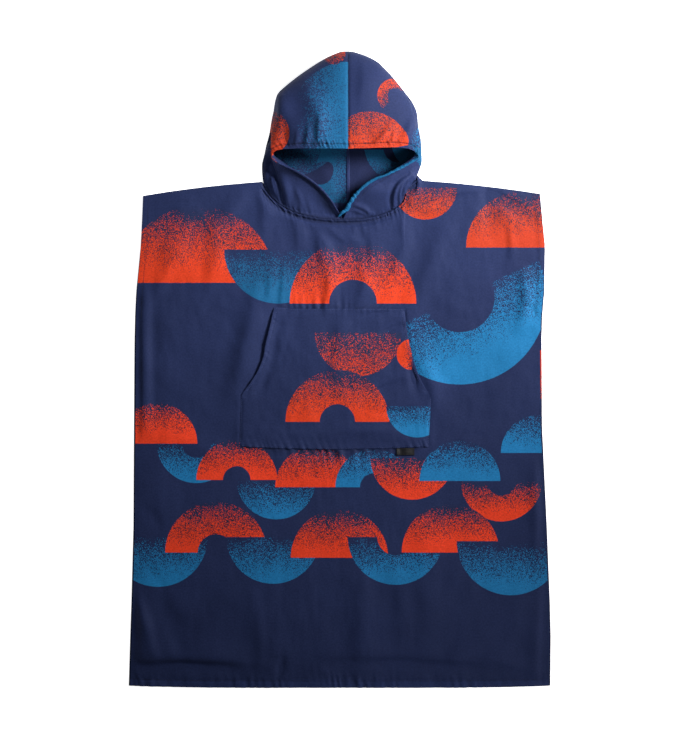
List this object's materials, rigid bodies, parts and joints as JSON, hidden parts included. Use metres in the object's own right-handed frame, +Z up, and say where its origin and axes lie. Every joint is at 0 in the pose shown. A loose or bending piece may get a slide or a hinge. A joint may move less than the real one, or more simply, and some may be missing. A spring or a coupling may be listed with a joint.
{
  "type": "hooded bath poncho",
  "caption": "Wide sleeveless bath poncho of thin towelling, laid flat on its back, with an open hood, hemmed edges and a hand pocket on the front.",
  "frame": {"origin": "on the resting surface, under the middle of the garment's box", "axes": "+X across the garment, to the right for a viewer above with the hood at the top; +Y from the hem to the hood; +Z up from the surface"},
  "size_m": [0.814, 1.226, 0.0767],
  "materials": {
    "back_cloth": "soft matt microfibre, thin and brushed",
    "front_cloth": "soft matt microfibre, thin and brushed",
    "left_hood_cloth": "soft matt microfibre, thin and brushed",
    "right_hood_cloth": "soft matt microfibre, thin and brushed",
    "pocket_cloth": "soft matt microfibre, thin and brushed",
    "tab_weave": "plain woven tab, satin"
  },
  "bodies": {
    "root": {"back_panel": "back_cloth", "front_panel": "front_cloth", "hood_left": "left_hood_cloth", "hood_right": "right_hood_cloth", "hand_pocket": "pocket_cloth", "tab": "tab_weave"}
  },
  "joints": []
}
